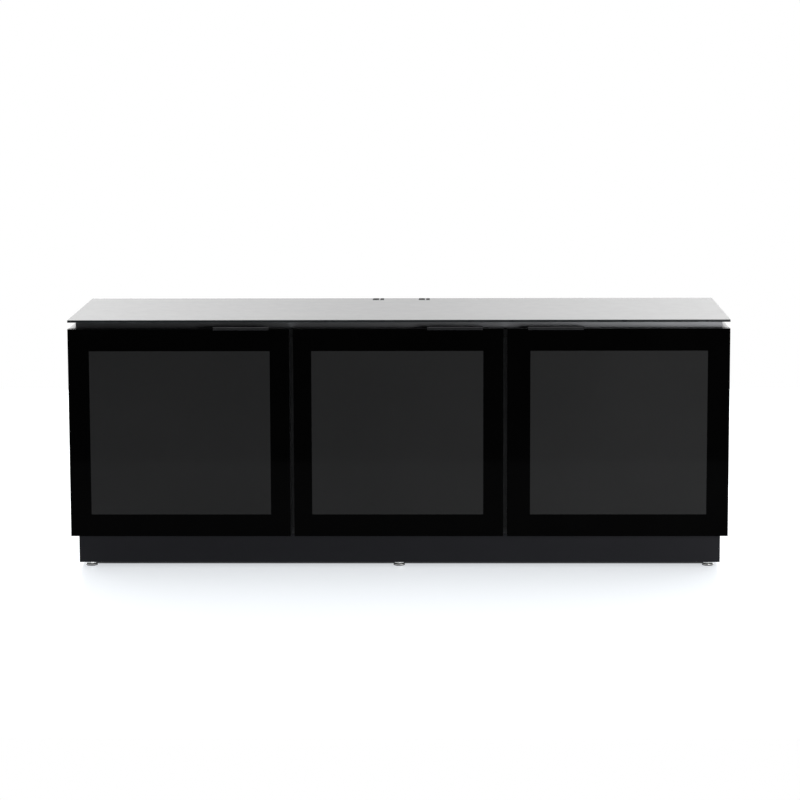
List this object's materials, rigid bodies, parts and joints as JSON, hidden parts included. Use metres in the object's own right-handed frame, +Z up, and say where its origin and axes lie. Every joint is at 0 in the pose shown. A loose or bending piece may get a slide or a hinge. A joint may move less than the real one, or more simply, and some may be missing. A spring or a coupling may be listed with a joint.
{
  "type": "media cabinet",
  "caption": "Low media cabinet with three glass-fronted doors, edge pulls, a floating glass top on a recessed neck, a recessed plinth and levelling feet.",
  "frame": {"origin": "on the floor under the middle of the cabinet, at the centre of its footprint", "axes": "+X to the right seen from the front, -Y out of the doors, +Z up"},
  "size_m": [1.63, 0.5102, 0.62],
  "materials": {
    "top_glass": "micro-etched, soft matte grey-black",
    "door_glass": "polished black border round a dark grey tinted window",
    "black_board": "satin black laminate",
    "side_panel": "satin black lacquer",
    "plinth_board": "satin black lacquer",
    "door_pull": "dark satin metal",
    "hardware_steel": "plated steel",
    "foot_metal": "satin plated",
    "catch_plastic": "black",
    "insert_plastic": "mid grey"
  },
  "bodies": {
    "cabinet": {"top_glass": "top_glass", "neck_rail_front": "black_board", "neck_rail_back": "black_board", "neck_rail_left": "black_board", "neck_rail_right": "black_board", "top_deck": "black_board", "bottom_deck": "black_board", "carcass_side_left": "black_board", "carcass_side_right": "black_board", "partition_left": "black_board", "partition_right": "black_board", "side_panel_left": "side_panel", "side_panel_right": "side_panel", "plinth_front": "plinth_board", "plinth_back": "plinth_board", "plinth_left": "plinth_board", "plinth_right": "plinth_board", "back_panel_left": "black_board", "shelf_left": "black_board", "magnetic_catch_left": "catch_plastic", "hinge_leaf_carcass_left_lower": "hardware_steel", "hinge_leaf_carcass_left_upper": "hardware_steel", "back_panel_middle": "black_board", "shelf_middle": "black_board", "magnetic_catch_middle": "catch_plastic", "hinge_leaf_carcass_middle_lower": "hardware_steel", "hinge_leaf_carcass_middle_upper": "hardware_steel", "back_panel_right": "black_board", "shelf_right": "black_board", "magnetic_catch_right": "catch_plastic", "hinge_leaf_carcass_right_lower": "hardware_steel", "hinge_leaf_carcass_right_upper": "hardware_steel", "top_insert_left": "insert_plastic", "top_insert_right": "insert_plastic"},
    "door_left": {"door_glass_left": "door_glass", "door_frame_left": "black_board", "door_pull_left": "door_pull", "hinge_leaf_door_left_lower": "hardware_steel", "hinge_leaf_door_left_upper": "hardware_steel"},
    "turn_button_left": {"turn_button_left": "hardware_steel"},
    "foot_front_left": {"levelling_foot_front_left": "foot_metal"},
    "foot_back_left": {"levelling_foot_back_left": "foot_metal"},
    "door_middle": {"door_glass_middle": "door_glass", "door_frame_middle": "black_board", "door_pull_middle": "door_pull", "hinge_leaf_door_middle_lower": "hardware_steel", "hinge_leaf_door_middle_upper": "hardware_steel"},
    "turn_button_middle": {"turn_button_middle": "hardware_steel"},
    "foot_front_middle": {"levelling_foot_front_middle": "foot_metal"},
    "foot_back_middle": {"levelling_foot_back_middle": "foot_metal"},
    "door_right": {"door_glass_right": "door_glass", "door_frame_right": "black_board", "door_pull_right": "door_pull", "hinge_leaf_door_right_lower": "hardware_steel", "hinge_leaf_door_right_upper": "hardware_steel"},
    "turn_button_right": {"turn_button_right": "hardware_steel"},
    "foot_front_right": {"levelling_foot_front_right": "foot_metal"},
    "foot_back_right": {"levelling_foot_back_right": "foot_metal"}
  },
  "joints": [
    {"name": "door_left_hinge", "type": "hinge", "parent": "cabinet", "child": "door_left", "pos_m": [-0.809, -0.24185, 0.339], "axis": [0, 0, -1], "range_deg": [0, 105]},
    {"name": "door_middle_hinge", "type": "hinge", "parent": "cabinet", "child": "door_middle", "pos_m": [-0.253, -0.24185, 0.339], "axis": [0, 0, -1], "range_deg": [0, 93]},
    {"name": "door_right_hinge", "type": "hinge", "parent": "cabinet", "child": "door_right", "pos_m": [0.809, -0.24185, 0.339], "axis": [0, 0, 1], "range_deg": [0, 105]},
    {"name": "turn_button_left_pivot", "type": "hinge", "parent": "cabinet", "child": "turn_button_left", "pos_m": [-0.52635, 0.24045, 0.5899], "axis": [0, 1, 0], "range_deg": [-90, 90]},
    {"name": "turn_button_middle_pivot", "type": "hinge", "parent": "cabinet", "child": "turn_button_middle", "pos_m": [0, 0.24045, 0.5899], "axis": [0, 1, 0], "range_deg": [-90, 90]},
    {"name": "turn_button_right_pivot", "type": "hinge", "parent": "cabinet", "child": "turn_button_right", "pos_m": [0.52635, 0.24045, 0.5899], "axis": [0, 1, 0], "range_deg": [-90, 90]},
    {"name": "foot_front_left_screw", "type": "slide", "parent": "cabinet", "child": "foot_front_left", "axis": [0, 0, -1], "range_m": [0, 0.012]},
    {"name": "foot_front_middle_screw", "type": "slide", "parent": "cabinet", "child": "foot_front_middle", "axis": [0, 0, -1], "range_m": [0, 0.012]},
    {"name": "foot_front_right_screw", "type": "slide", "parent": "cabinet", "child": "foot_front_right", "axis": [0, 0, -1], "range_m": [0, 0.012]},
    {"name": "foot_back_left_screw", "type": "slide", "parent": "cabinet", "child": "foot_back_left", "axis": [0, 0, -1], "range_m": [0, 0.012]},
    {"name": "foot_back_middle_screw", "type": "slide", "parent": "cabinet", "child": "foot_back_middle", "axis": [0, 0, -1], "range_m": [0, 0.012]},
    {"name": "foot_back_right_screw", "type": "slide", "parent": "cabinet", "child": "foot_back_right", "axis": [0, 0, -1], "range_m": [0, 0.012]}
  ]
}
